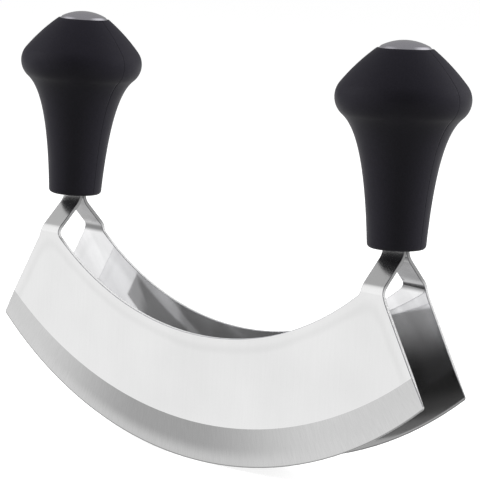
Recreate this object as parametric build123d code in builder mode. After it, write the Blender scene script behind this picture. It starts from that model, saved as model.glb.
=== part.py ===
from build123d import *
import os
from math import asin, cos, degrees, radians, sin, sqrt

# Double-bladed mezzaluna: two crescent blades side by side, rocked by two upright handles.
# X runs along the blades, Y from the front blade to the rear one, Z up from the board.
# The origin is on the board, under the middle of the tool. Sizes are in millimetres and degrees.

# Blades
blade_length = 210.0
blade_gap = 23.0  # between the inner faces of the two blades
sheet = 1.5  # thickness of the blade steel
edge_radius = 160.0  # the cutting edge is one arc
web_height = 47.4  # from the edge up to the concave top, half way along
throat_height = 74.6  # where the concave top, one arc, reaches the straps
tip_round = 1.0
shoulder_height = 75.2  # where the straight blade end runs into the strap
shoulder_round = 16.0
throat_round = 3.5  # where the concave top runs into the strap

# Ground edge
bevel_height = 14.5  # grinding line above the edge, the same all along
honed_height = 1.0  # steeper band next to the edge
honed_thickness = 0.5  # steel left where the honed band ends
edge_land = 0.3  # steel left at the edge itself

# Straps: the blade's ends, folded inwards and then up to meet back to back
strap_inset = 25.0  # from each tip of the blade to the middle of its strap
strap_width = 9.3
fold_height = 76.2  # the first fold, on the inner face
join_height = 87.3  # the second fold, where the inner faces meet
fold_radius = 3.3
join_radius = 6.5
tang_length = 46.0  # what the handle hides of the strap
tang_round = 2.5
tang_clearance = 0.15

# Handles: heights are taken along the handle from its foot
foot_lift = 2.7  # from the second fold up to the handle's foot
handle_lean = 1.1  # the handles lean towards each other by this many degrees
foot_radius = 10.3
foot_round = 1.5
foot_draft = 3.3  # how far the neck opens out at the foot, in degrees
flare_reach = 35.0  # how long the neck keeps that direction
flare_pull = 4.6  # how long the flare keeps its last direction
flare_angle = 48.9  # direction of the flare's end, from the handle's axis
bulge_radius = 23.7
bulge_height = 52.0
bulge_round = 8.2
crown_angle = 38.2  # direction of the crown's start, from the handle's axis
rim_radius = 9.9
rim_height = 69.1

# Inside of the handle halves
wall = 3.0
spine_width = 16.0  # the solid web that holds the tang, the pins and the plug
pocket_width = 12.0
pocket_height = 8.0
pocket_round = 1.2
pocket_web = 1.8  # plastic left between one pocket and the next
pocket_rows = 3
pocket_floor = 33.0  # height of the lowest pocket's lower edge
tongue_inset = 1.0  # from the outside of the handle to the locating tongue
tongue_thickness = 0.9
tongue_height = 0.8
tongue_foot = 4.0  # the tongue starts this far above the foot
tongue_stop = 7.0  # and stops this far below the cap's seat
tongue_clearance = 0.1
seam_width = 0.36  # the fine groove that shows where the halves meet
seam_depth = 0.3

# Pins through the tangs
pin_radius = 2.0
pin_length = 15.0
pin_chamfer = 0.4
pin_clearance = 0.05
lower_pin_height = 12.0
upper_pin_drop = 14.0  # from the tang's end down to the upper pin

# Cap and the plug that carries it
cap_radius = 9.3
cap_sheet = 0.8
cap_sink = 2.1  # how deep the skirt's lower edge sits below the handle's rim
cap_skirt = 2.0
cap_bevel_width = 0.8
cap_bevel_height = 0.9
cap_rise = 2.1  # how far the dome stands above its bevel
cap_edge_round = 0.3
cap_clearance = 0.1
plug_stem_radius = 4.4
plug_collar_radius = 6.2
plug_reach = 11.0  # from the cap's seat down to the plug's foot
collar_drop = 8.5  # from the cap's seat down to the foot of the plug's collar
collar_height = 2.5
flange_height = 1.6
plug_clearance = 0.05

overrun = 5.0  # how far a cut runs past what it cuts

half_gap = blade_gap / 2
strap_x = blade_length / 2 - strap_inset
handle_foot = join_height + foot_lift
tang_top = handle_foot + tang_length
upper_pin_height = tang_length - upper_pin_drop
cap_seat = rim_height - cap_sink
plug_foot = cap_seat - plug_reach
collar_foot = cap_seat - collar_drop
os.makedirs("parts", exist_ok=True)


def save(piece, name):
    """Label a finished piece and write it under that name."""
    piece.part.label = name
    export_step(piece.part, f"parts/{name}.step")


def seam_plane(side):
    """Plane through one handle's axis, half way between the blades: X across, Y up the handle."""
    lean = radians(handle_lean) * side
    return Plane(
        origin=(strap_x * side, 0, handle_foot),
        x_dir=(cos(lean), 0, sin(lean)),
        z_dir=(0, -1, 0),
    )


def cross_plane(side):
    """Plane through one handle's axis, square to the blades: X towards the rear, Y up the handle."""
    seam = seam_plane(side)
    return Plane(origin=seam.origin, x_dir=(0, 1, 0), z_dir=seam.x_dir)


# Front outline of a blade with its straps, drawn square on and used for both blades
half_angle = degrees(asin(blade_length / 2 / edge_radius))
strap_outer = strap_x + strap_width / 2
strap_inner = strap_x - strap_width / 2
tip_height = edge_radius - sqrt(edge_radius**2 - (blade_length / 2) ** 2)
throat_rise = throat_height - web_height
top_radius = (strap_inner**2 + throat_rise**2) / (throat_rise * 2)
top_centre = web_height + top_radius
top_angle = degrees(asin(strap_inner / top_radius))

with BuildSketch(Plane.XZ) as blade_outline:
    with BuildLine():
        edge = CenterArc((0, edge_radius), edge_radius, -90 - half_angle, half_angle * 2)
        side_line = Polyline(
            edge @ 1,
            (strap_outer, shoulder_height),
            (strap_outer, tang_top),
            (strap_inner, tang_top),
            (strap_inner, throat_height),
        )
        mirror(side_line, about=Plane.YZ)
        CenterArc((0, top_centre), top_radius, -90 - top_angle, top_angle * 2)
    make_face()
    rounded_corners = (
        ((blade_length / 2, tip_height), tip_round),
        ((strap_outer, shoulder_height), shoulder_round),
        ((strap_inner, throat_height), throat_round),
        ((strap_inner, tang_top), tang_round),
        ((strap_outer, tang_top), tang_round),
    )
    for (x, height), corner_round in rounded_corners:
        for side in (-1, 1):
            corner = blade_outline.vertices().sort_by_distance((x * side, height))[0]
            fillet(corner, radius=corner_round)


def grinding(middle, facing, inner, low, outer, high):
    """Cutter for one ground band: its surface climbs from height low to high above the edge
    while the steel goes from inner to outer away from the blade's middle plane."""
    climb = (high - low) / (outer - inner)
    reach = outer - inner + overrun / climb
    start = Plane(origin=(0, middle + inner * facing, low), x_dir=(1, 0, 0), z_dir=(0, -1, 0))
    with BuildSketch(start) as band:
        with BuildLine():
            under = CenterArc((0, edge_radius), edge_radius, -90 - half_angle, half_angle * 2)
            Polyline(under @ 1, ((under @ 1).X, -web_height), ((under @ 0).X, -web_height), under @ 0)
        make_face()
    with BuildPart() as cutter:
        extrude(band.sketch, amount=reach * sqrt(1 + climb**2), dir=(0, facing, climb))
    return cutter.part


def make_blade(name, facing):
    """One blade with its two straps: a sheet bent in side view, trimmed to the front outline."""
    middle = facing * (half_gap + sheet / 2)
    with BuildPart() as blade:
        with BuildSketch(Plane.YZ):
            with BuildLine():
                FilletPolyline(
                    (facing * half_gap, 0),
                    (facing * half_gap, fold_height),
                    (0, join_height),
                    (0, tang_top),
                    radius=[fold_radius, join_radius + sheet],
                )
                offset(amount=sheet, side=Side.RIGHT if facing > 0 else Side.LEFT)
            make_face()
        extrude(amount=blade_length / 2, both=True)
        extrude(blade_outline.sketch, amount=blade_gap, both=True, mode=Mode.INTERSECT)
        for face_side in (-1, 1):
            add(
                grinding(middle, face_side, edge_land / 2, 0, honed_thickness / 2, honed_height),
                mode=Mode.SUBTRACT,
            )
            add(
                grinding(middle, face_side, honed_thickness / 2, honed_height, sheet / 2, bevel_height),
                mode=Mode.SUBTRACT,
            )
        for side in (-1, 1):
            with BuildSketch(seam_plane(side)):
                with Locations((0, lower_pin_height), (0, upper_pin_height)):
                    Circle(pin_radius + pin_clearance)
            extrude(amount=sheet + overrun, both=True, mode=Mode.SUBTRACT)
    save(blade, name)


make_blade("front_blade", -1)
make_blade("rear_blade", 1)


def handle_section(inset):
    """One side of the handle's section, drawn this far inside its outside.
    X runs outwards from the handle's axis and Y up from its foot."""
    bulge_centre = (bulge_radius - bulge_round, bulge_height)
    draft = Vector(sin(radians(foot_draft)), cos(radians(foot_draft)))
    with BuildSketch() as section:
        with BuildLine():
            foot = Line((0, inset), (foot_radius - inset, inset))
            bulge = CenterArc(
                bulge_centre, bulge_round - inset, -flare_angle, flare_angle + crown_angle
            )
            Bezier(
                foot @ 1,
                (foot @ 1) + draft * flare_reach,
                (bulge @ 0) - (bulge % 0) * flare_pull,
                bulge @ 0,
            )
            crown_end = (rim_radius - inset / 2, rim_height - inset)
            crown = TangentArc(bulge @ 1, crown_end, tangent=bulge % 1)
            rim = Line(crown @ 1, (0, rim_height - inset))
            Line(rim @ 1, foot @ 0)
        make_face()
    return section.sketch


def seam_band(outer_inset, inner_inset):
    """Band along the face where two halves meet, between two depths inside the handle."""
    with BuildSketch() as band:
        add(handle_section(outer_inset))
        add(handle_section(inner_inset), mode=Mode.SUBTRACT)
        mirror(about=Plane.YZ)
    return band.sketch


def tongue_band(clearance):
    """Locating tongue along the seam, or with a clearance the groove that takes it."""
    outer_inset = tongue_inset - clearance
    inner_inset = tongue_inset + tongue_thickness + clearance
    band_foot = tongue_foot - clearance
    band_stop = cap_seat - tongue_stop + clearance
    with BuildSketch() as band:
        add(seam_band(outer_inset, inner_inset))
        # it stops short of the foot and of the cap's seat
        with Locations((0, band_foot)):
            Rectangle(
                bulge_radius * 2, band_foot, align=(Align.CENTER, Align.MAX), mode=Mode.SUBTRACT
            )
        with Locations((0, band_stop)):
            Rectangle(
                bulge_radius * 2,
                rim_height - band_stop,
                align=(Align.CENTER, Align.MIN),
                mode=Mode.SUBTRACT,
            )
    return band.sketch


# Flat drawings that the halves share: solid section, inner form, seam groove, tongue and its place
solid_section = handle_section(0)
inner_section = handle_section(wall)
seam_groove = seam_band(0, seam_depth)
tongue = tongue_band(0)
tongue_place = tongue_band(tongue_clearance)

# Everything that fills the top of a handle: the stepped hole for the plug and the cap's seat
with BuildSketch() as cap_hole:
    with BuildLine():
        bore = plug_stem_radius + plug_clearance
        collar_bore = plug_collar_radius + plug_clearance
        Polyline(
            (0, plug_foot - plug_clearance),
            (bore, plug_foot - plug_clearance),
            (bore, collar_foot - plug_clearance),
            (collar_bore, collar_foot - plug_clearance),
            (collar_bore, collar_foot + collar_height + plug_clearance),
            (bore, collar_foot + collar_height + plug_clearance),
            (bore, cap_seat),
            (cap_radius + cap_clearance, cap_seat),
            (cap_radius + cap_clearance, rim_height + overrun),
            (0, rim_height + overrun),
            close=True,
        )
    make_face()


def make_pockets(side):
    """The moulded pockets of both halves: rounded columns, cut to the inner form of the handle."""
    seam = seam_plane(side)
    with BuildPart() as pockets:
        with BuildSketch(cross_plane(side)):
            add(inner_section)
        revolve(axis=Axis(seam.origin, seam.y_dir))
        pitch = pocket_height + pocket_web
        with BuildSketch(seam):
            with Locations((0, pocket_floor + pocket_height / 2 + pitch * (pocket_rows - 1) / 2)):
                with GridLocations(spine_width + pocket_width, pitch, 2, pocket_rows):
                    RectangleRounded(pocket_width, pocket_height, pocket_round)
        extrude(amount=bulge_radius, both=True, mode=Mode.INTERSECT)
    return pockets.part


def make_half(name, side, facing):
    """One moulded half of a handle: facing is 1 for the front half and -1 for the rear one."""
    seam = seam_plane(side)
    axis = Axis(seam.origin, seam.y_dir)
    with BuildPart() as half:
        with BuildSketch(seam):
            add(solid_section)
        revolve(axis=Axis(seam.origin, seam.y_dir * -facing), revolution_arc=180)
        fillet(half.edges().filter_by(GeomType.CIRCLE).sort_by(axis)[0], radius=foot_round)
        add(make_pockets(side), mode=Mode.SUBTRACT)
        # slot for this half's share of the two straps
        slot_height = tang_length + tang_clearance + overrun
        with BuildSketch(Plane.XZ):
            with Locations((strap_x * side, tang_top + tang_clearance - slot_height / 2)):
                Rectangle(strap_width + tang_clearance * 2, slot_height)
        extrude(amount=sheet + tang_clearance, both=True, mode=Mode.SUBTRACT)
        # blind holes for the two pins
        with BuildSketch(seam):
            with Locations((0, lower_pin_height), (0, upper_pin_height)):
                Circle(pin_radius + pin_clearance)
        extrude(amount=pin_length / 2 + pin_clearance, both=True, mode=Mode.SUBTRACT)
        # seat of the plug and the cap
        with BuildSketch(cross_plane(side)):
            add(cap_hole.sketch)
        revolve(axis=axis, mode=Mode.SUBTRACT)
        # groove that shows, then the tongue of the front half or its place in the rear half
        with BuildSketch(seam):
            add(seam_groove)
        extrude(amount=seam_width / 2, both=True, mode=Mode.SUBTRACT)
        with BuildSketch(seam):
            add(tongue if facing > 0 else tongue_place)
        if facing > 0:
            extrude(amount=tongue_height, both=True)
        else:
            extrude(amount=tongue_height + tongue_clearance, both=True, mode=Mode.SUBTRACT)
    save(half, name)


def make_pin(name, side, height):
    """Plain steel dowel across both straps."""
    with BuildPart() as pin:
        with BuildSketch(seam_plane(side)):
            with Locations((0, height)):
                Circle(pin_radius)
        extrude(amount=pin_length / 2, both=True)
        chamfer(pin.edges().filter_by(GeomType.CIRCLE), length=pin_chamfer)
    save(pin, name)


def make_plug(name, side):
    """Moulded plug: a collar trapped between the halves and a flange that the cap grips."""
    seam = seam_plane(side)
    flange_radius = cap_radius - cap_sheet - plug_clearance
    with BuildPart() as plug:
        with BuildSketch(seam):
            with BuildLine():
                Polyline(
                    (0, plug_foot),
                    (plug_stem_radius, plug_foot),
                    (plug_stem_radius, collar_foot),
                    (plug_collar_radius, collar_foot),
                    (plug_collar_radius, collar_foot + collar_height),
                    (plug_stem_radius, collar_foot + collar_height),
                    (plug_stem_radius, cap_seat),
                    (flange_radius, cap_seat),
                    (flange_radius, cap_seat + flange_height),
                    (0, cap_seat + flange_height),
                    close=True,
                )
            make_face()
        revolve(axis=Axis(seam.origin, seam.y_dir))
    save(plug, name)


def make_cap(name, side):
    """Stamped cap: a short skirt, a bevelled edge and a shallow dome, open below."""
    seam = seam_plane(side)
    axis = Axis(seam.origin, seam.y_dir)
    bevel_foot = cap_seat + cap_skirt
    dome_foot = bevel_foot + cap_bevel_height
    with BuildPart() as cap:
        with BuildSketch(seam) as cap_section:
            with BuildLine():
                seat = Line((0, cap_seat), (cap_radius, cap_seat))
                skirt = Line(seat @ 1, (cap_radius, bevel_foot))
                bevel = Line(skirt @ 1, (cap_radius - cap_bevel_width, dome_foot))
                dome = TangentArc((0, dome_foot + cap_rise), bevel @ 1, tangent=(1, 0))
                Line(dome @ 0, seat @ 0)
            make_face()
            rims = cap_section.vertices().filter_by_position(Axis.Y, bevel_foot, dome_foot)
            fillet(rims, radius=cap_edge_round)
        revolve(axis=axis)
        offset(amount=-cap_sheet, openings=cap.faces().sort_by(axis)[0])
    save(cap, name)


for side_name, side in (("left", -1), ("right", 1)):
    make_half(f"{side_name}_handle_front_half", side, 1)
    make_half(f"{side_name}_handle_rear_half", side, -1)
    make_pin(f"{side_name}_lower_tang_pin", side, lower_pin_height)
    make_pin(f"{side_name}_upper_tang_pin", side, upper_pin_height)
    make_plug(f"{side_name}_cap_plug", side)
    make_cap(f"{side_name}_end_cap", side)
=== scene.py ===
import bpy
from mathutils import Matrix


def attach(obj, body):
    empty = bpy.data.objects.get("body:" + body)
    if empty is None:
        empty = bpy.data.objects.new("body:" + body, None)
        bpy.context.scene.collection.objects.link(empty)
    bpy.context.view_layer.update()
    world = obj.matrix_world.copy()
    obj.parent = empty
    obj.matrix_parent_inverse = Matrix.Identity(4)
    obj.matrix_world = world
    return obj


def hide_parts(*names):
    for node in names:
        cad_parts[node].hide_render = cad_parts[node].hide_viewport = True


bl_info = {
    "name": "Double Mezzaluna",
    "version": (1, 0, 0),
    "blender": (4, 5, 0),
    "location": "View3D > Sidebar > Mezzaluna",
    "description": "Dresses a two-bladed mezzaluna: steel blades, moulded handles and domed caps",
    "category": "Object",
}

from math import atan2, cos, pi, radians, sin, tan

import bmesh
import bpy
from bpy.props import FloatProperty, FloatVectorProperty, IntProperty, PointerProperty
from mathutils import Matrix, Vector
from mathutils.geometry import interpolate_bezier

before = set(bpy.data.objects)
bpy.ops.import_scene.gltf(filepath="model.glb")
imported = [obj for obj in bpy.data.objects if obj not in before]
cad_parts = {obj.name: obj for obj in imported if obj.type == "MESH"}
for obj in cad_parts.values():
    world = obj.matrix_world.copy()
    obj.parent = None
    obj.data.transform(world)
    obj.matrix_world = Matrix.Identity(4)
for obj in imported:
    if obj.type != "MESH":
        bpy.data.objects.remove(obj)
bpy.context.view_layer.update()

MM = 0.001
SIDES = (("left", -1), ("right", 1))
FACINGS = (("front", -1), ("rear", 1))

# Nearly all values of a noise texture lie in this span
NOISE_SPAN = {"From Min": 0.3, "From Max": 0.7}

# A blade's material slots
POLISHED, GROUND, INNER, SHEARED, BROKEN, INNER_GROUND = range(6)


def linear(hex_colour):
    """sRGB hex to the linear RGBA that Blender's sockets take."""
    channels = [int(hex_colour[i : i + 2], 16) / 255 for i in (0, 2, 4)]
    return tuple(
        c / 12.92 if c <= 0.04045 else ((c + 0.055) / 1.055) ** 2.4 for c in channels
    ) + (1.0,)


def length_prop(name, description, size):
    """A length that a user can change, in metres inside and shown in the scene's unit."""
    return FloatProperty(
        name=name, description=description, default=size * MM, unit="LENGTH", subtype="DISTANCE",
        precision=5,
    )


def angle_prop(name, description, degrees):
    """An angle that a user can change."""
    return FloatProperty(
        name=name, description=description, default=radians(degrees), unit="ROTATION",
        subtype="ANGLE",
    )


def colour_prop(name, description, hex_colour):
    """A colour that a user can change."""
    return FloatVectorProperty(
        name=name, description=description, default=linear(hex_colour), size=4, subtype="COLOR",
        min=0, max=1,
    )


class BladeSizes(bpy.types.PropertyGroup):
    """Sizes that the finish of the blades follows."""

    edge_radius: length_prop("Edge radius", "Radius of the cutting edge's arc", 160.0)
    bevel_height: length_prop("Bevel height", "Height of the ground band above the edge", 14.5)
    top_centre: length_prop("Top centre", "Height of the centre of the concave top's arc", 165.37)
    top_radius: length_prop("Top radius", "Radius of the concave top's arc", 117.97)
    length: length_prop("Length", "From one tip of a blade to the other", 210.0)
    tip_height: length_prop("Tip height", "Height of the blade's tips above the board", 39.27)
    end_lean: angle_prop("End lean", "How far the blade's straight ends lean inwards", 29.5)
    fold_start: length_prop("Fold start", "Height below which the sheet is flat", 74.0)
    edge_break: length_prop("Edge break", "Rounding of the sheet's cut edges", 0.2)
    edge_margin: length_prop("Edge margin", "Strip along the cutting edge that is left unrounded", 1.4)
    # The polishing wheel's mark is a line of painted shade where the polished sheet rolls off
    rolloff_margin: length_prop("Polish margin", "From the top and ends to the polishing wheel's mark", 3.8)
    # The darker middle between the blades is painted shade
    middle_shade_reach: length_prop("Dull reach", "Half the length of the darker middle between the blades", 53.0)
    fold_height: length_prop("Fold height", "Height of the first fold of the straps", 76.2)
    streak: length_prop("Streak spacing", "Distance between grinding streaks", 0.4)
    grain: length_prop("Grain spacing", "Distance between polishing lines", 0.8)


class HandleSizes(bpy.types.PropertyGroup):
    """Sizes of a handle's outside. Heights are taken along the handle from its foot."""

    spacing: length_prop("Spacing", "Distance between the feet of the two handles", 160.0)
    foot: length_prop("Foot", "Height of the handle's foot above the board", 90.0)
    lean: angle_prop("Lean", "How far the handles lean towards each other", 1.1)
    foot_radius: length_prop("Foot radius", "Radius of the neck at the foot", 10.3)
    foot_round: length_prop("Foot rounding", "Radius of the foot's edge", 1.5)
    foot_draft: angle_prop("Foot draft", "How far the neck opens out at the foot", 3.3)
    flare_reach: length_prop("Flare reach", "How long the neck keeps its first direction", 35.0)
    flare_pull: length_prop("Flare pull", "How long the flare keeps its last direction", 4.6)
    flare_angle: angle_prop("Flare angle", "Direction of the flare's end from the axis", 48.9)
    bulge_radius: length_prop("Bulge radius", "Largest radius of the knob", 23.7)
    bulge_height: length_prop("Bulge height", "Height of the largest radius", 52.0)
    bulge_round: length_prop("Bulge rounding", "Radius of the knob's shoulder in section", 8.2)
    crown_angle: angle_prop("Crown angle", "Direction of the crown's start from the axis", 38.2)
    rim_radius: length_prop("Rim radius", "Outer radius of the lip round the cap", 9.9)
    rim_height: length_prop("Rim height", "Height of the lip round the cap", 69.1)
    seam_gap: length_prop("Seam gap", "Half the gap between the two moulded halves", 0.03)
    seam_round: length_prop("Seam rounding", "Broken edge of each half along the seam", 0.1)
    turns: IntProperty(name="Facets", description="Facets round a handle or cap", default=144, min=24)


class CapSizes(bpy.types.PropertyGroup):
    """Sizes of the pressed steel cap. Heights are taken along the handle from its foot."""

    radius: length_prop("Radius", "Radius of the cap's skirt", 9.3)
    clearance: length_prop("Clearance", "Gap between the cap and the lip", 0.1)
    seat: length_prop("Seat", "Height of the skirt's lower edge", 67.0)
    skirt: length_prop("Skirt", "Height of the skirt", 2.0)
    bevel_width: length_prop("Bevel width", "Width of the pressed bevel", 0.8)
    bevel_height: length_prop("Bevel height", "Height of the pressed bevel", 0.9)
    rise: length_prop("Rise", "How far the dome stands above its bevel", 2.1)
    edge_round: length_prop("Edge rounding", "Rounding of the pressed edges", 0.3)


class Finishes(bpy.types.PropertyGroup):
    """Colours of the materials."""

    sheet_steel: colour_prop("Polished sheet", "Outer faces of the blades and straps", "e9e9e9")
    inner_steel: colour_prop("Inner sheet", "Faces that the two blades turn to each other", "f0f0f1")
    sheared_steel: colour_prop("Cut edges", "Walls where the sheet was cut", "c4c4c4")
    broken_steel: colour_prop("Broken edges", "Fine rounding along the cut edges", "929296")
    ground_steel: colour_prop("Ground band", "Bevel next to the cutting edge", "d2d2d2")
    # Painted shade: the inner ground band is a darker copy of the ground band's colour
    shaded_inner_ground: colour_prop("Inner ground band", "Bevel on the faces that look at each other", "a2a2a2")
    cap_steel: colour_prop("Pressed cap", "Domed cap on top of each handle", "d8d6de")
    pin_steel: colour_prop("Pins", "Dowels inside the handles", "c8c8c8")
    moulded_black: colour_prop("Handle", "Moulded handle halves", "17161b")
    plug_black: colour_prop("Plug", "Moulded plugs that carry the caps", "222226")
    floor_grey: colour_prop("Floor", "What the pale floor gives back to the object", "868686")


def add_node(tree, kind, settings=None, inputs=None):
    """Add one node: settings are its own properties, inputs are values or sockets by name or number."""
    item = tree.nodes.new(kind)
    for key, value in (settings or {}).items():
        setattr(item, key, value)
    for key, value in (inputs or {}).items():
        if isinstance(value, bpy.types.NodeSocket):
            tree.links.new(value, item.inputs[key])
        else:
            item.inputs[key].default_value = value
    return item


def new_material(name):
    """A node material with an empty tree."""
    material = bpy.data.materials.new(name)
    material.use_nodes = True
    material.node_tree.nodes.clear()
    return material


def stainless_sheet(
    name, sizes, colour, gloss, wipe=0.0, middle_shade=0.0, haze=0.0, strap_shade=1.0, satin=0.0, crease_shade=1.0
):
    """Rolled stainless sheet, polished on a wheel: nearly a mirror, with faint clouds and lines in it.

    gloss is the roughness of the blade, and satin what the folded straps have on top of it. Slanting
    wiping marks take away the share wipe of the brightness, and painted shade takes the share
    middle_shade of it from the middle of the blade. Painted shade leaves the straps the share
    strap_shade of it, and a painted dark line leaves the inside of the fold the share crease_shade.
    Next to the concave top the share haze of the light is scattered, and a tenth of that further down.
    """
    cloud_size = 30 * MM
    cloud_wander = 3 * MM
    corner_blend = 14 * MM
    line_reach = 2.4 * MM
    line_level = 0.95
    grain_stretch = 0.05
    mark_spacing = 7 * MM
    mark_stretch = 8.0
    mark_slant = radians(50)
    border_wander = 12 * MM
    fold_foot = sizes.fold_height - 1 * MM
    strap_foot = sizes.fold_height + 3 * MM
    satin_foot = sizes.fold_height + 4 * MM
    crease_height = sizes.fold_height - 0.8 * MM
    crease_core = 0.3 * MM
    crease_reach = 2.2 * MM
    haze_core = 6 * MM
    haze_reach = 24 * MM

    material = new_material(name)
    tree = material.node_tree
    place = add_node(tree, "ShaderNodeTexCoord")
    apart = add_node(tree, "ShaderNodeSeparateXYZ", {}, {0: place.outputs["Object"]})
    # How far a point is from the concave top
    rise = add_node(
        tree, "ShaderNodeMath", {"operation": "SUBTRACT"}, {0: apart.outputs["Z"], 1: sizes.top_centre}
    )
    drawn = add_node(tree, "ShaderNodeCombineXYZ", {}, {"X": apart.outputs["X"], "Z": rise.outputs[0]})
    reach = add_node(tree, "ShaderNodeVectorMath", {"operation": "LENGTH"}, {0: drawn.outputs[0]})
    from_top = add_node(
        tree, "ShaderNodeMath", {"operation": "SUBTRACT"}, {0: reach.outputs["Value"], 1: sizes.top_radius}
    )
    # How far it is from the blade's slanting end
    outwards = add_node(tree, "ShaderNodeMath", {"operation": "ABSOLUTE"}, {0: apart.outputs["X"]})
    folded = add_node(
        tree, "ShaderNodeCombineXYZ", {}, {"X": outwards.outputs[0], "Z": apart.outputs["Z"]}
    )
    slant = Vector((cos(sizes.end_lean), 0, sin(sizes.end_lean)))
    tip = Vector((sizes.length / 2, 0, sizes.tip_height))
    along = add_node(
        tree, "ShaderNodeVectorMath", {"operation": "DOT_PRODUCT"}, {0: folded.outputs[0], 1: slant}
    )
    from_end = add_node(
        tree, "ShaderNodeMath", {"operation": "SUBTRACT"}, {0: slant.dot(tip), 1: along.outputs["Value"]}
    )
    from_rim = add_node(
        tree, "ShaderNodeMath", {"operation": "SMOOTH_MIN"},
        {0: from_top.outputs[0], 1: from_end.outputs[0], 2: corner_blend},
    )
    # Slow clouds where the belt pressed harder
    clouds = add_node(
        tree, "ShaderNodeTexNoise", {"noise_dimensions": "3D"},
        {"Vector": place.outputs["Object"], "Scale": 1 / cloud_size, "Detail": 2.0, "Roughness": 0.5},
    )
    # Painted shade: a soft grey line, a little unsteady, where the polished sheet rolls off towards the
    # rim
    wander = add_node(
        tree, "ShaderNodeMath", {"operation": "MULTIPLY_ADD"},
        {0: clouds.outputs["Fac"], 1: cloud_wander, 2: from_rim.outputs[0]},
    )
    offset = add_node(
        tree, "ShaderNodeMath", {"operation": "SUBTRACT"},
        {0: wander.outputs[0], 1: sizes.rolloff_margin + cloud_wander / 2},
    )
    beside = add_node(tree, "ShaderNodeMath", {"operation": "ABSOLUTE"}, {0: offset.outputs[0]})
    line = add_node(
        tree, "ShaderNodeMapRange", {"interpolation_type": "SMOOTHSTEP"},
        {"Value": beside.outputs[0], "From Min": 0.0, "From Max": line_reach, "To Min": line_level},
    )
    # Polishing lines run up the blade, so the noise is drawn out along Z
    stretch = add_node(
        tree, "ShaderNodeMapping", {"vector_type": "POINT"},
        {"Vector": place.outputs["Object"], "Scale": (1.0, 1.0, grain_stretch)},
    )
    lines = add_node(
        tree, "ShaderNodeTexNoise", {"noise_dimensions": "3D"},
        {"Vector": stretch.outputs[0], "Scale": 1 / sizes.grain, "Detail": 3.0, "Roughness": 0.6},
    )
    grain = add_node(
        tree, "ShaderNodeMapRange", {},
        {**NOISE_SPAN, "Value": lines.outputs["Fac"], "To Min": 0.985, "To Max": 1.0},
    )
    # Wiping marks slant across the sheet
    slanted = add_node(
        tree, "ShaderNodeMapping", {"vector_type": "TEXTURE"},
        {
            "Vector": place.outputs["Object"],
            "Rotation": (0.0, mark_slant, 0.0), "Scale": (mark_stretch, 1.0, 1.0),
        },
    )
    marks = add_node(
        tree, "ShaderNodeTexNoise", {"noise_dimensions": "3D"},
        {"Vector": slanted.outputs[0], "Scale": 1 / mark_spacing, "Detail": 2.0, "Roughness": 0.5},
    )
    wiped = add_node(
        tree, "ShaderNodeMapRange", {"interpolation_type": "SMOOTHSTEP"},
        {
            "Value": marks.outputs["Fac"],
            "From Min": 0.35, "From Max": 0.65, "To Min": 1.0 - wipe, "To Max": 1.0,
        },
    )
    cloudy = add_node(
        tree, "ShaderNodeMapRange", {},
        {**NOISE_SPAN, "Value": clouds.outputs["Fac"], "To Min": 0.96, "To Max": 1.02},
    )
    # Painted shade: the middle of the blade is painted darker, with a soft and unsteady border
    border = add_node(
        tree, "ShaderNodeMath", {"operation": "MULTIPLY_ADD"},
        {0: marks.outputs["Fac"], 1: border_wander, 2: outwards.outputs[0]},
    )
    middle = add_node(
        tree, "ShaderNodeMapRange", {"interpolation_type": "SMOOTHSTEP"},
        {
            "Value": border.outputs[0],
            "From Min": sizes.middle_shade_reach + border_wander / 4,
            "From Max": sizes.middle_shade_reach + border_wander * 3 / 4,
            "To Min": 1.0 - middle_shade, "To Max": 1.0,
        },
    )
    # Painted shade: the straps are painted darker above the fold
    painted_strap_shade = add_node(
        tree, "ShaderNodeMapRange", {"interpolation_type": "SMOOTHSTEP"},
        {
            "Value": apart.outputs["Z"],
            "From Min": fold_foot, "From Max": strap_foot, "To Min": 1.0, "To Max": strap_shade,
        },
    )
    # Painted shade: a dark line is painted in the inside of the fold
    from_fold = add_node(
        tree, "ShaderNodeMath", {"operation": "SUBTRACT"}, {0: apart.outputs["Z"], 1: crease_height}
    )
    fold_gap = add_node(tree, "ShaderNodeMath", {"operation": "ABSOLUTE"}, {0: from_fold.outputs[0]})
    painted_crease = add_node(
        tree, "ShaderNodeMapRange", {"interpolation_type": "SMOOTHSTEP"},
        {
            "Value": fold_gap.outputs[0],
            "From Min": crease_core, "From Max": crease_reach, "To Min": crease_shade, "To Max": 1.0,
        },
    )
    shade = line
    for share in (grain, wiped, cloudy, middle, painted_strap_shade, painted_crease):
        shade = add_node(
            tree, "ShaderNodeMath", {"operation": "MULTIPLY"}, {0: shade.outputs[0], 1: share.outputs[0]}
        )
    tint = add_node(
        tree, "ShaderNodeVectorMath", {"operation": "SCALE"}, {0: colour[:3], "Scale": shade.outputs[0]}
    )
    rough = add_node(
        tree, "ShaderNodeMapRange", {},
        {**NOISE_SPAN, "Value": clouds.outputs["Fac"], "To Min": gloss * 1.25, "To Max": gloss},
    )
    duller_strap = add_node(
        tree, "ShaderNodeMapRange", {"interpolation_type": "SMOOTHSTEP"},
        {
            "Value": apart.outputs["Z"],
            "From Min": fold_foot, "From Max": satin_foot, "To Min": 0.0, "To Max": satin,
        },
    )
    duller = add_node(
        tree, "ShaderNodeMath", {"operation": "ADD"}, {0: rough.outputs[0], 1: duller_strap.outputs[0]}
    )
    metal = add_node(
        tree, "ShaderNodeMapRange", {"interpolation_type": "SMOOTHSTEP"},
        {
            "Value": from_top.outputs[0],
            "From Min": haze_core, "From Max": haze_reach,
            "To Min": 1.0 - haze, "To Max": 1.0 - haze / 10,
        },
    )
    shader = add_node(
        tree, "ShaderNodeBsdfPrincipled", {},
        {"Base Color": tint.outputs[0], "Metallic": metal.outputs[0], "Roughness": duller.outputs[0]},
    )
    add_node(tree, "ShaderNodeOutputMaterial", {}, {"Surface": shader.outputs[0]})
    return material


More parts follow.
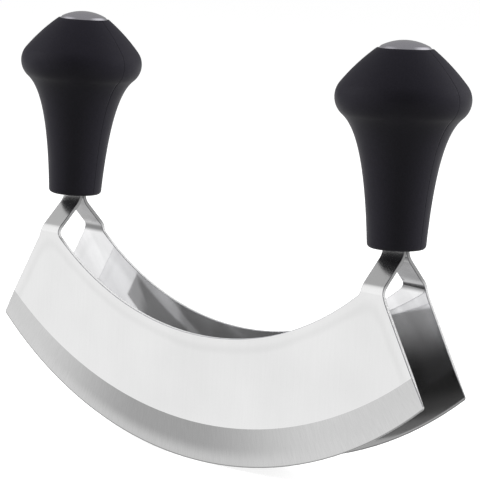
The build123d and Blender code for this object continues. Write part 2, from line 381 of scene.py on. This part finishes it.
def cut_steel(name, sizes, colour, roughness, metal):
    """Stainless steel left by the cutting press: matte, with a fine torn grain across the thickness.

    It is painted darker on the folded straps, as painted shade, and the concave top between them
    scatters more of the light.
    """
    tear_spacing = 0.3 * MM
    tear_stretch = 0.1
    fold_foot = sizes.fold_height - 1 * MM
    strap_foot = sizes.fold_height + 3 * MM
    strap_shade_level = 0.45
    top_reach = 68 * MM
    end_reach = 76 * MM
    top_scatter = 0.4

    material = new_material(name)
    tree = material.node_tree
    place = add_node(tree, "ShaderNodeTexCoord")
    apart = add_node(tree, "ShaderNodeSeparateXYZ", {}, {0: place.outputs["Object"]})
    # Tears run across the sheet
    stretch = add_node(
        tree, "ShaderNodeMapping", {"vector_type": "POINT"},
        {"Vector": place.outputs["Object"], "Scale": (1.0, tear_stretch, 1.0)},
    )
    tears = add_node(
        tree, "ShaderNodeTexNoise", {"noise_dimensions": "3D"},
        {"Vector": stretch.outputs[0], "Scale": 1 / tear_spacing, "Detail": 2.0, "Roughness": 0.5},
    )
    shade = add_node(
        tree, "ShaderNodeMapRange", {},
        {**NOISE_SPAN, "Value": tears.outputs["Fac"], "To Min": 0.92, "To Max": 1.02},
    )
    # Painted shade: the walls of the folded straps are painted darker
    painted_strap_shade = add_node(
        tree, "ShaderNodeMapRange", {"interpolation_type": "SMOOTHSTEP"},
        {
            "Value": apart.outputs["Z"],
            "From Min": fold_foot, "From Max": strap_foot, "To Min": 1.0, "To Max": strap_shade_level,
        },
    )
    level = add_node(
        tree, "ShaderNodeMath", {"operation": "MULTIPLY"}, {0: shade.outputs[0], 1: painted_strap_shade.outputs[0]}
    )
    tint = add_node(
        tree, "ShaderNodeVectorMath", {"operation": "SCALE"}, {0: colour[:3], "Scale": level.outputs[0]}
    )
    outwards = add_node(tree, "ShaderNodeMath", {"operation": "ABSOLUTE"}, {0: apart.outputs["X"]})
    scattering = add_node(
        tree, "ShaderNodeMapRange", {"interpolation_type": "SMOOTHSTEP"},
        {
            "Value": outwards.outputs[0],
            "From Min": top_reach, "From Max": end_reach, "To Min": metal - top_scatter, "To Max": metal,
        },
    )
    shader = add_node(
        tree, "ShaderNodeBsdfPrincipled", {},
        {"Base Color": tint.outputs[0], "Metallic": scattering.outputs[0], "Roughness": roughness},
    )
    add_node(tree, "ShaderNodeOutputMaterial", {}, {"Surface": shader.outputs[0]})
    return material


def ground_bevel(name, sizes, colour):
    """Stainless steel ground square to the cutting edge: streaks fan out round the edge's centre."""
    streak_stretch = 0.06
    dark_place = -14 * MM
    dark_core = 12 * MM
    dark_reach = 85 * MM
    relief_depth = 0.02 * MM

    material = new_material(name)
    tree = material.node_tree
    place = add_node(tree, "ShaderNodeTexCoord")
    apart = add_node(tree, "ShaderNodeSeparateXYZ", {}, {0: place.outputs["Object"]})
    drop = add_node(
        tree, "ShaderNodeMath", {"operation": "SUBTRACT"}, {0: sizes.edge_radius, 1: apart.outputs["Z"]}
    )
    turn = add_node(
        tree, "ShaderNodeMath", {"operation": "ARCTAN2"}, {0: apart.outputs["X"], 1: drop.outputs[0]}
    )
    along = add_node(
        tree, "ShaderNodeMath", {"operation": "MULTIPLY"}, {0: turn.outputs[0], 1: sizes.edge_radius}
    )
    flat = add_node(tree, "ShaderNodeCombineXYZ", {}, {"X": apart.outputs["X"], "Z": drop.outputs[0]})
    reach = add_node(tree, "ShaderNodeVectorMath", {"operation": "LENGTH"}, {0: flat.outputs[0]})
    # The distance along the edge counts in full and the distance from it hardly at all
    squeeze = add_node(
        tree, "ShaderNodeMath", {"operation": "MULTIPLY"}, {0: reach.outputs["Value"], 1: streak_stretch}
    )
    fan = add_node(
        tree, "ShaderNodeCombineXYZ", {},
        {"X": along.outputs[0], "Y": apart.outputs["Y"], "Z": squeeze.outputs[0]},
    )
    streaks = add_node(
        tree, "ShaderNodeTexNoise", {"noise_dimensions": "3D"},
        {"Vector": fan.outputs[0], "Scale": 1 / sizes.streak, "Detail": 4.0, "Roughness": 0.65},
    )
    # How far up the band a point is: 0 at the edge and 1 at the grinding line
    height = add_node(
        tree, "ShaderNodeMapRange", {},
        {
            "Value": reach.outputs["Value"],
            "From Min": sizes.edge_radius, "From Max": sizes.edge_radius - sizes.bevel_height,
        },
    )
    # Painted reflection: the band is painted darkest near the middle and clears towards the tips
    shifted = add_node(
        tree, "ShaderNodeMath", {"operation": "SUBTRACT"}, {0: along.outputs[0], 1: dark_place}
    )
    aside = add_node(tree, "ShaderNodeMath", {"operation": "ABSOLUTE"}, {0: shifted.outputs[0]})
    middle = add_node(
        tree, "ShaderNodeMapRange", {"interpolation_type": "SMOOTHSTEP"},
        {
            "Value": aside.outputs[0],
            "From Min": dark_core, "From Max": dark_reach, "To Min": 0.45, "To Max": 0.04,
        },
    )
    # The painted reflection also clears over its lower half, next to the edge
    clearing = add_node(
        tree, "ShaderNodeMapRange", {"interpolation_type": "SMOOTHSTEP"},
        {"Value": height.outputs[0], "From Min": 0.1, "From Max": 0.5, "To Min": 0.35, "To Max": 1.0},
    )
    dark = add_node(
        tree, "ShaderNodeMath", {"operation": "MULTIPLY"}, {0: middle.outputs[0], 1: clearing.outputs[0]}
    )
    level = add_node(tree, "ShaderNodeMath", {"operation": "SUBTRACT"}, {0: 1.0, 1: dark.outputs[0]})
    # Painted shade: a thin dark line is painted along the honed edge, for its narrow facet
    honed_edge_shade = add_node(
        tree, "ShaderNodeMapRange", {"interpolation_type": "SMOOTHSTEP"},
        {"Value": height.outputs[0], "From Min": 0.012, "From Max": 0.04, "To Min": 0.45, "To Max": 1.0},
    )
    streaked = add_node(
        tree, "ShaderNodeMapRange", {},
        {**NOISE_SPAN, "Value": streaks.outputs["Fac"], "To Min": 0.93, "To Max": 1.03},
    )
    shade = level
    for share in (honed_edge_shade, streaked):
        shade = add_node(
            tree, "ShaderNodeMath", {"operation": "MULTIPLY"}, {0: shade.outputs[0], 1: share.outputs[0]}
        )
    tint = add_node(
        tree, "ShaderNodeVectorMath", {"operation": "SCALE"}, {0: colour[:3], "Scale": shade.outputs[0]}
    )
    rough = add_node(
        tree, "ShaderNodeMapRange", {},
        {**NOISE_SPAN, "Value": streaks.outputs["Fac"], "To Min": 0.13, "To Max": 0.09},
    )
    relief = add_node(
        tree, "ShaderNodeBump", {},
        {"Strength": 0.12, "Distance": relief_depth, "Height": streaks.outputs["Fac"]},
    )
    shader = add_node(
        tree, "ShaderNodeBsdfPrincipled", {},
        {
            "Base Color": tint.outputs[0], "Metallic": 1.0,
            "Roughness": rough.outputs[0], "Normal": relief.outputs[0],
        },
    )
    add_node(tree, "ShaderNodeOutputMaterial", {}, {"Surface": shader.outputs[0]})
    return material


def pressed_cap_steel(colour):
    """Stainless steel pressed to a dome and satin polished: a soft grey with a fine grit in it."""
    grit_spacing = 0.4 * MM

    material = new_material("stainless_cap_pressed")
    tree = material.node_tree
    place = add_node(tree, "ShaderNodeTexCoord")
    # Grit of the polishing mop
    grit = add_node(
        tree, "ShaderNodeTexNoise", {"noise_dimensions": "3D"},
        {"Vector": place.outputs["Object"], "Scale": 1 / grit_spacing, "Detail": 3.0, "Roughness": 0.6},
    )
    shade = add_node(
        tree, "ShaderNodeMapRange", {},
        {**NOISE_SPAN, "Value": grit.outputs["Fac"], "To Min": 0.95, "To Max": 1.0},
    )
    tint = add_node(
        tree, "ShaderNodeVectorMath", {"operation": "SCALE"}, {0: colour[:3], "Scale": shade.outputs[0]}
    )
    rough = add_node(
        tree, "ShaderNodeMapRange", {},
        {**NOISE_SPAN, "Value": grit.outputs["Fac"], "To Min": 0.2, "To Max": 0.15},
    )
    shader = add_node(
        tree, "ShaderNodeBsdfPrincipled", {},
        {"Base Color": tint.outputs[0], "Metallic": 1.0, "Roughness": rough.outputs[0]},
    )
    add_node(tree, "ShaderNodeOutputMaterial", {}, {"Surface": shader.outputs[0]})
    return material


def drawn_pin_steel(colour):
    """Stainless wire, drawn and cropped: a plain grey whose gloss varies a little from spot to spot."""
    spot_spacing = 0.5 * MM

    material = new_material("stainless_pin_drawn")
    tree = material.node_tree
    place = add_node(tree, "ShaderNodeTexCoord")
    spots = add_node(
        tree, "ShaderNodeTexNoise", {"noise_dimensions": "3D"},
        {"Vector": place.outputs["Object"], "Scale": 1 / spot_spacing, "Detail": 2.0},
    )
    rough = add_node(
        tree, "ShaderNodeMapRange", {}, {"Value": spots.outputs["Fac"], "To Min": 0.35, "To Max": 0.22}
    )
    shader = add_node(
        tree, "ShaderNodeBsdfPrincipled", {},
        {"Base Color": colour, "Metallic": 1.0, "Roughness": rough.outputs[0]},
    )
    add_node(tree, "ShaderNodeOutputMaterial", {}, {"Surface": shader.outputs[0]})
    return material


def moulded_plastic(name, colour, speck):
    """Black polypropylene moulded in a spark-eroded tool: a matte skin with a very fine pebble."""
    flow_spacing = 12 * MM
    pebble_depth = 0.03 * MM

    material = new_material(name)
    tree = material.node_tree
    place = add_node(tree, "ShaderNodeTexCoord")
    # Pebble of the mould; the real one is finer than a pixel, so it is drawn as coarse as it shows
    pebble = add_node(
        tree, "ShaderNodeTexNoise", {"noise_dimensions": "3D"},
        {"Vector": place.outputs["Object"], "Scale": 1 / speck, "Detail": 3.0, "Roughness": 0.7},
    )
    # Slow flow marks, left as the plastic filled the tool
    flow = add_node(
        tree, "ShaderNodeTexNoise", {"noise_dimensions": "3D"},
        {"Vector": place.outputs["Object"], "Scale": 1 / flow_spacing, "Detail": 2.0, "Roughness": 0.5},
    )
    shade = add_node(
        tree, "ShaderNodeMapRange", {},
        {**NOISE_SPAN, "Value": pebble.outputs["Fac"], "To Min": 0.75, "To Max": 1.25},
    )
    tint = add_node(
        tree, "ShaderNodeVectorMath", {"operation": "SCALE"}, {0: colour[:3], "Scale": shade.outputs[0]}
    )
    rough = add_node(
        tree, "ShaderNodeMapRange", {},
        {**NOISE_SPAN, "Value": flow.outputs["Fac"], "To Min": 0.5, "To Max": 0.42},
    )
    relief = add_node(
        tree, "ShaderNodeBump", {},
        {"Strength": 0.35, "Distance": pebble_depth, "Height": pebble.outputs["Fac"]},
    )
    shader = add_node(
        tree, "ShaderNodeBsdfPrincipled", {},
        {
            "Base Color": tint.outputs[0], "Roughness": rough.outputs[0],
            "Normal": relief.outputs[0], "IOR": 1.49, "Specular IOR Level": 0.09,
        },
    )
    add_node(tree, "ShaderNodeOutputMaterial", {}, {"Surface": shader.outputs[0]})
    return material


def finish_piece(bm, name, materials, node_name):
    """Write a bmesh to an object of its own that stands for a CAD node and rides on the root."""
    mesh = bpy.data.meshes.new(name)
    bm.to_mesh(mesh)
    bm.free()
    for material in materials:
        mesh.materials.append(material)
    piece = bpy.data.objects.new(name, mesh)
    bpy.context.scene.collection.objects.link(piece)
    # Flat faces keep their own direction next to a rounding
    weight = piece.modifiers.new("flat_first", "WEIGHTED_NORMAL")
    weight.mode = "FACE_AREA"
    weight.weight = 90
    weight.keep_sharp = True
    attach(piece, "root")
    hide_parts(node_name)
    return piece


def round_edges(bm, edges, size, segments, clamp=True, slot=-1):
    """Round edges with narrow faces, which keep their neighbours' material unless a slot is given."""
    bmesh.ops.bevel(
        bm, geom=edges, offset=size, offset_type="OFFSET", segments=segments, profile=0.5,
        affect="EDGES", clamp_overlap=clamp, material=slot,
    )


def shade_smooth(bm, sharp):
    """Shade smoothly, apart from the edges that turn by the angle sharp or more."""
    for face in bm.faces:
        face.smooth = True
    for edge in bm.edges:
        edge.smooth = edge.calc_face_angle(0) < sharp


def arc_points(start, heading, end, count):
    """Points of the circular arc that leaves start in a direction and arrives at end, after the start."""
    chord = end - start
    swing = atan2(chord.y, chord.x) - heading
    swing = (swing + pi) % (2 * pi) - pi
    radius = chord.length / (2 * sin(swing))
    pull = 4 / 3 * tan(swing / 2) * radius
    leave = Vector((cos(heading), sin(heading)))
    arrive = Vector((cos(heading + 2 * swing), sin(heading + 2 * swing)))
    return interpolate_bezier(start, start + leave * pull, end - arrive * pull, end, count)[1:]


def turned(points, turns):
    """A bmesh spun a full turn round Z from a profile of (radius, height) points."""
    weld = 0.001 * MM
    bm = bmesh.new()
    corners = [bm.verts.new((point[0], 0, point[1])) for point in points]
    for first, second in zip(corners, corners[1:]):
        bm.edges.new((first, second))
    bmesh.ops.spin(
        bm, geom=bm.verts[:] + bm.edges[:], cent=(0, 0, 0), axis=(0, 0, 1), dvec=(0, 0, 0),
        angle=2 * pi, steps=turns, use_merge=True, use_normal_flip=False, use_duplicate=False,
    )
    bmesh.ops.remove_doubles(bm, verts=bm.verts, dist=weld)
    bmesh.ops.recalc_face_normals(bm, faces=bm.faces)
    return bm


def stand_on(bm, sizes, side):
    """Lean a piece made on the Z axis and put it on its handle's foot."""
    lean = Matrix.Rotation(-sizes.lean * side, 4, "Y")
    place = Matrix.Translation((sizes.spacing / 2 * side, 0, sizes.foot))
    bmesh.ops.transform(bm, matrix=place @ lean, verts=bm.verts)


def handle_profile(sizes, cap):
    """Outline of a handle from the axis at the foot, over the knob, to the axis at the cap's seat."""
    foot_points = 7
    flare_points = 48
    shoulder_points = 20
    crown_points = 14

    foot = Vector((sizes.foot_radius, 0))
    draft = Vector((sin(sizes.foot_draft), cos(sizes.foot_draft)))
    centre = Vector((sizes.bulge_radius - sizes.bulge_round, sizes.bulge_height))
    last = Vector((sin(sizes.flare_angle), cos(sizes.flare_angle)))
    flare_end = centre + Vector((cos(sizes.flare_angle), -sin(sizes.flare_angle))) * sizes.bulge_round
    crown_start = centre + Vector((cos(sizes.crown_angle), sin(sizes.crown_angle))) * sizes.bulge_round
    rim = Vector((sizes.rim_radius, sizes.rim_height))
    # The foot's edge is rounded where the underside meets the neck
    pull = sizes.foot_round * tan((pi / 2 - sizes.foot_draft) / 2)
    round_start = foot - Vector((pull, 0))
    round_end = foot + draft * pull
    flare = interpolate_bezier(
        foot, foot + draft * sizes.flare_reach, flare_end - last * sizes.flare_pull, flare_end,
        flare_points,
    )
    points = [Vector((0, 0)), round_start]
    points += arc_points(round_start, 0, round_end, foot_points)
    points += [point for point in flare if point.y > round_end.y]
    points += arc_points(flare_end, pi / 2 - sizes.flare_angle, crown_start, shoulder_points)
    points += arc_points(crown_start, pi / 2 + sizes.crown_angle, rim, crown_points)
    bore = cap.radius + cap.clearance
    points += [Vector((bore, sizes.rim_height)), Vector((bore, cap.seat)), Vector((0, cap.seat))]
    return points


class MEZZALUNA_OT_blades(bpy.types.Operator):
    """Dress the two folded steel blades"""

    bl_idname = "mezzaluna.blades"
    bl_label = "Blades"

    # How squarely a face looks across the blades: a cut wall by less than this, the flat sheet by more
    wall_share = 0.4
    sheet_share = 0.9

    def execute(self, context):
        sizes = context.scene.mezzaluna_blades
        materials = self.make_finishes(sizes, context.scene.mezzaluna_finishes)
        weld = 0.002 * MM
        one_plane = radians(0.02)
        for facing_name, facing in FACINGS:
            node_name = f"{facing_name}_blade"
            bm = bmesh.new()
            bm.from_mesh(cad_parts[node_name].data)
            bmesh.ops.remove_doubles(bm, verts=bm.verts, dist=weld)
            # Only faces in one plane are joined, so the grinding line keeps all its points
            bmesh.ops.dissolve_limit(
                bm, angle_limit=one_plane, verts=bm.verts, edges=bm.edges, use_dissolve_boundaries=False
            )
            cut_edges = self.find_cut_edges(bm, sizes)
            self.assign_slots(bm, sizes, facing)
            round_edges(bm, cut_edges, sizes.edge_break, segments=3, clamp=False, slot=BROKEN)
            self.mark_sharp(bm, sizes)
            finish_piece(bm, f"{facing_name}_blade_dressed", materials, node_name)
        return {"FINISHED"}

    def make_finishes(self, sizes, colours):
        """The blade's materials, in the order of its slots."""
        return (
            stainless_sheet(
                "stainless_sheet_polished", sizes, colours.sheet_steel, gloss=0.07, strap_shade=0.92,
                satin=0.15,
            ),
            ground_bevel("stainless_bevel_ground", sizes, colours.ground_steel),
            # The inner sheet gets painted shade in its middle, on its straps and in its fold
            stainless_sheet(
                "stainless_sheet_rolled", sizes, colours.inner_steel, gloss=0.04, wipe=0.1, middle_shade=0.42,
                haze=0.1, strap_shade=0.43, satin=0.08, crease_shade=0.3,
            ),
            cut_steel(
                "stainless_edge_sheared", sizes, colours.sheared_steel, roughness=0.42, metal=0.82
            ),
            cut_steel("stainless_edge_broken", sizes, colours.broken_steel, roughness=0.35, metal=1.0),
            # Painted shade: the inner ground band takes the darker copy of the ground colour
            ground_bevel("stainless_bevel_inner", sizes, colours.shaded_inner_ground),
        )

    def from_centre(self, place, sizes):
        """How far a point is from the centre of the cutting edge's arc, seen from the side."""
        return (Vector((place.x, 0, place.z)) - Vector((0, 0, sizes.edge_radius))).length

    def find_cut_edges(self, bm, sizes):
        """The corners where the sheet was cut, apart from those along the cutting edge."""
        corner = radians(30)
        band_foot = sizes.edge_radius - sizes.edge_margin
        return [
            edge
            for edge in bm.edges
            if edge.calc_face_angle(0) > corner
            and min(self.from_centre(vert.co, sizes) for vert in edge.verts) < band_foot
        ]

    def assign_slots(self, bm, sizes, facing):
        """Give each face its slot: cut wall, ground band, or the outer or inner face of the sheet."""
        grinding_line = sizes.edge_radius - sizes.bevel_height
        for face in bm.faces:
            across = abs(face.normal.y)
            outer = face.normal.y * facing > 0
            distance = self.from_centre(face.calc_center_median(), sizes)
            if across < self.wall_share:
                slot = SHEARED
            elif across > self.sheet_share and distance > grinding_line:
                slot = GROUND if outer else INNER_GROUND
            else:
                slot = POLISHED if outer else INNER
            face.material_index = slot

    def mark_sharp(self, bm, sizes):
        """Keep the corners sharp, and the grinding line between the flat faces."""
        corner = radians(35)
        ground_corner = radians(0.6)
        shade_smooth(bm, corner)
        for edge in bm.edges:
            both_flat = len(edge.link_faces) == 2 and all(
                abs(face.normal.y) > self.sheet_share for face in edge.link_faces
            )
            below_fold = all(vert.co.z < sizes.fold_start for vert in edge.verts)
            if both_flat and below_fold and edge.calc_face_angle(0) > ground_corner:
                edge.smooth = False


class MEZZALUNA_OT_handles(bpy.types.Operator):
    """Turn the two knob handles, each in two moulded halves"""

    bl_idname = "mezzaluna.handles"
    bl_label = "Handles"

    def execute(self, context):
        sizes = context.scene.mezzaluna_handles
        cap = context.scene.mezzaluna_caps
        colours = context.scene.mezzaluna_finishes
        plastic = moulded_plastic(
            "polypropylene_moulded_black", colours.moulded_black, speck=0.45 * MM
        )
        sharp = radians(40)
        on_plane = 0.0001 * MM
        for side_name, side in SIDES:
            for facing_name, facing in FACINGS:
                bm = turned(handle_profile(sizes, cap), sizes.turns)
                bmesh.ops.bisect_plane(
                    bm, geom=bm.verts[:] + bm.edges[:] + bm.faces[:], dist=on_plane,
                    plane_co=(0, sizes.seam_gap * facing, 0), plane_no=(0, facing, 0), clear_inner=True,
                )
                rim = [edge for edge in bm.edges if edge.is_boundary]
                bmesh.ops.holes_fill(bm, edges=rim, sides=0)
                # Both halves have a broken edge where they meet, so the seam shows as a fine groove
                round_edges(bm, rim, sizes.seam_round, segments=2)
                bmesh.ops.recalc_face_normals(bm, faces=bm.faces)
                stand_on(bm, sizes, side)
                shade_smooth(bm, sharp)
                name = f"{side_name}_handle_{facing_name}_half"
                finish_piece(bm, f"{name}_moulded", (plastic,), name)
        return {"FINISHED"}


class MEZZALUNA_OT_caps(bpy.types.Operator):
    """Press the domed steel cap on top of each handle"""

    bl_idname = "mezzaluna.caps"
    bl_label = "Caps"

    def execute(self, context):
        sizes = context.scene.mezzaluna_handles
        cap = context.scene.mezzaluna_caps
        steel = pressed_cap_steel(context.scene.mezzaluna_finishes.cap_steel)
        bevel_foot = cap.seat + cap.skirt
        dome_foot = bevel_foot + cap.bevel_height
        dome_radius = cap.radius - cap.bevel_width
        top = Vector((0, dome_foot + cap.rise))
        dome_points = 16
        dome = [top] + arc_points(top, 0, Vector((dome_radius, dome_foot)), dome_points)
        points = [Vector((0, cap.seat)), Vector((cap.radius, cap.seat))]
        points += [Vector((cap.radius, bevel_foot))] + dome[::-1]
        level = 0.01 * MM
        off_seat = 0.1 * MM
        corner = radians(10)
        sharp = radians(50)
        for side_name, side in SIDES:
            bm = turned(points, sizes.turns)
            # The corners that the press rounds run level round the cap, above its lower edge
            pressed = [
                edge
                for edge in bm.edges
                if abs(edge.verts[1].co.z - edge.verts[0].co.z) < level
                and edge.calc_face_angle(0) > corner
                and edge.verts[0].co.z > cap.seat + off_seat
            ]
            round_edges(bm, pressed, cap.edge_round / 2, segments=4)
            stand_on(bm, sizes, side)
            shade_smooth(bm, sharp)
            name = f"{side_name}_end_cap"
            finish_piece(bm, f"{name}_pressed", (steel,), name)
        return {"FINISHED"}


class MEZZALUNA_OT_fittings(bpy.types.Operator):
    """Give the pins and plugs inside the handles their finishes"""

    bl_idname = "mezzaluna.fittings"
    bl_label = "Pins and plugs"

    def execute(self, context):
        colours = context.scene.mezzaluna_finishes
        steel = drawn_pin_steel(colours.pin_steel)
        plastic = moulded_plastic("polypropylene_moulded_plug", colours.plug_black, speck=0.6 * MM)
        for name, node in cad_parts.items():
            if name.endswith("_tang_pin"):
                finish = steel
            elif name.endswith("_cap_plug"):
                finish = plastic
            else:
                continue
            node.data.materials.clear()
            node.data.materials.append(finish)
        return {"FINISHED"}


class MEZZALUNA_OT_stage(bpy.types.Operator):
    """Set up the floor, the soft lamps, the surround and the camera"""

    bl_idname = "mezzaluna.stage"
    bl_label = "Stage"

    def execute(self, context):
        scene = context.scene
        scene.view_settings.view_transform = "Standard"
        self.lay_floor(scene)
        self.light_surround(scene)
        self.hang_lamps(scene)
        self.place_camera(scene)
        return {"FINISHED"}

    def lay_floor(self, scene):
        """A wide pale floor that shows white to the camera and in the steel, and keeps a soft shadow."""
        radius = 12.0
        camera_glow = 0.86
        shadow_share = 0.25

        bm = bmesh.new()
        bmesh.ops.create_circle(bm, cap_ends=True, cap_tris=False, segments=96, radius=radius)
        mesh = bpy.data.meshes.new("studio_floor")
        bm.to_mesh(mesh)
        bm.free()
        material = new_material("studio_floor_pale")
        tree = material.node_tree
        colour = scene.mezzaluna_finishes.floor_grey
        path = add_node(tree, "ShaderNodeLightPath")
        mirrored = add_node(
            tree, "ShaderNodeMath", {"operation": "MAXIMUM"},
            {0: path.outputs["Is Glossy Ray"], 1: path.outputs["Is Transmission Ray"]},
        )
        plain = add_node(tree, "ShaderNodeBsdfDiffuse", {}, {"Color": colour})
        # The camera sees a glow, and a little of the light that falls on the floor makes the shadow
        glow = add_node(
            tree, "ShaderNodeEmission", {}, {"Color": (1, 1, 1, 1), "Strength": camera_glow}
        )
        faint = add_node(
            tree, "ShaderNodeBsdfDiffuse", {}, {"Color": (shadow_share, shadow_share, shadow_share, 1)}
        )
        shown = add_node(tree, "ShaderNodeAddShader", {}, {0: glow.outputs[0], 1: faint.outputs[0]})
        white = add_node(tree, "ShaderNodeEmission", {}, {"Color": (1, 1, 1, 1), "Strength": 1.0})
        direct = add_node(
            tree, "ShaderNodeMixShader", {},
            {0: path.outputs["Is Camera Ray"], 1: plain.outputs[0], 2: shown.outputs[0]},
        )
        pick = add_node(
            tree, "ShaderNodeMixShader", {},
            {0: mirrored.outputs[0], 1: direct.outputs[0], 2: white.outputs[0]},
        )
        add_node(tree, "ShaderNodeOutputMaterial", {}, {"Surface": pick.outputs[0]})
        mesh.materials.append(material)
        floor = bpy.data.objects.new("studio_floor", mesh)
        scene.collection.objects.link(floor)

    def light_surround(self, scene):
        """White to the camera, and to all else a dim room with a broad glow on each side of the view."""
        dim_room = 0.33
        glow_level = 0.75
        glow_border = 0.55
        glow_core = 0.95
        front_left = Vector((-0.66, -0.72, 0.22))
        rear_right = Vector((0.66, 0.72, 0.3))

        world = bpy.data.worlds.new("studio_surround")
        world.use_nodes = True
        scene.world = world
        tree = world.node_tree
        tree.nodes.clear()
        path = add_node(tree, "ShaderNodeLightPath")
        place = add_node(tree, "ShaderNodeTexCoord")
        room = dim_room
        for side in (front_left, rear_right):
            # How squarely a direction looks at the glow, by the cosine
            towards = add_node(
                tree, "ShaderNodeVectorMath", {"operation": "DOT_PRODUCT"},
                {0: place.outputs["Generated"], 1: side.normalized()},
            )
            glow = add_node(
                tree, "ShaderNodeMapRange", {"interpolation_type": "SMOOTHSTEP"},
                {
                    "Value": towards.outputs["Value"],
                    "From Min": glow_border, "From Max": glow_core, "To Min": 0.0, "To Max": glow_level,
                },
            )
            total = add_node(tree, "ShaderNodeMath", {"operation": "ADD"}, {0: room, 1: glow.outputs[0]})
            room = total.outputs[0]
        shown = add_node(
            tree, "ShaderNodeMix", {"data_type": "FLOAT"},
            {0: path.outputs["Is Camera Ray"], 2: room, 3: 1.0},
        )
        light = add_node(
            tree, "ShaderNodeBackground", {}, {"Color": (1, 1, 1, 1), "Strength": shown.outputs[0]}
        )
        add_node(tree, "ShaderNodeOutputWorld", {}, {"Surface": light.outputs[0]})

    def hang_lamps(self, scene):
        """Two square soft boxes, front left and rear right, that the steel doesn't mirror."""
        aim = Vector((0, 0, 0.08))
        box_size = 0.7
        for name, place, power in (
            ("soft_box_left", Vector((-1.05, -0.75, 0.7)), 46.0),
            ("soft_box_right", Vector((0.9, 0.8, 0.7)), 48.0),
        ):
            lamp = bpy.data.lights.new(name, "AREA")
            lamp.energy = power
            lamp.shape = "SQUARE"
            lamp.size = box_size
            hung = bpy.data.objects.new(name, lamp)
            hung.visible_glossy = False
            turn = (place - aim).to_track_quat("Z", "Y").to_matrix().to_4x4()
            hung.matrix_world = Matrix.Translation(place) @ turn
            scene.collection.objects.link(hung)

    def place_camera(self, scene):
        """The viewpoint: front right of the blades and a little above them, with a long lens."""
        standpoint = Vector((496.34, -562.18, 194.86)) * MM
        right = Vector((0.7533, 0.6557, 0.0504)).normalized()
        ahead = Vector((-0.6436, 0.7509, -0.1483)).normalized()
        up = right.cross(ahead).normalized()
        right = ahead.cross(up)
        view = bpy.data.cameras.new("viewpoint")
        view.sensor_width = 36.0
        view.lens = 152.52
        view.shift_x = -0.0275
        view.shift_y = 0.0002
        view.clip_start = 0.01
        view.clip_end = 50.0
        camera = bpy.data.objects.new("viewpoint", view)
        turn = Matrix((right, up, -ahead)).transposed().to_4x4()
        camera.matrix_world = Matrix.Translation(standpoint) @ turn
        scene.collection.objects.link(camera)
        scene.camera = camera


class MEZZALUNA_PT_pieces(bpy.types.Panel):
    """Lists the steps that dress the mezzaluna"""

    bl_idname = "MEZZALUNA_PT_pieces"
    bl_label = "Mezzaluna"
    bl_space_type = "VIEW_3D"
    bl_region_type = "UI"
    bl_category = "Mezzaluna"

    def draw(self, context):
        for operator in OPERATORS:
            self.layout.operator(operator.bl_idname)


GROUPS = (BladeSizes, HandleSizes, CapSizes, Finishes)
OPERATORS = (
    MEZZALUNA_OT_blades,
    MEZZALUNA_OT_handles,
    MEZZALUNA_OT_caps,
    MEZZALUNA_OT_fittings,
    MEZZALUNA_OT_stage,
)
CLASSES = GROUPS + OPERATORS + (MEZZALUNA_PT_pieces,)


def register():
    for item in CLASSES:
        bpy.utils.register_class(item)
    bpy.types.Scene.mezzaluna_blades = PointerProperty(type=BladeSizes)
    bpy.types.Scene.mezzaluna_handles = PointerProperty(type=HandleSizes)
    bpy.types.Scene.mezzaluna_caps = PointerProperty(type=CapSizes)
    bpy.types.Scene.mezzaluna_finishes = PointerProperty(type=Finishes)


def unregister():
    del bpy.types.Scene.mezzaluna_finishes
    del bpy.types.Scene.mezzaluna_caps
    del bpy.types.Scene.mezzaluna_handles
    del bpy.types.Scene.mezzaluna_blades
    for item in reversed(CLASSES):
        bpy.utils.unregister_class(item)


def main():
    register()
    bpy.ops.mezzaluna.blades()
    bpy.ops.mezzaluna.handles()
    bpy.ops.mezzaluna.caps()
    bpy.ops.mezzaluna.fittings()
    bpy.ops.mezzaluna.stage()


if __name__ == "__main__":
    main()
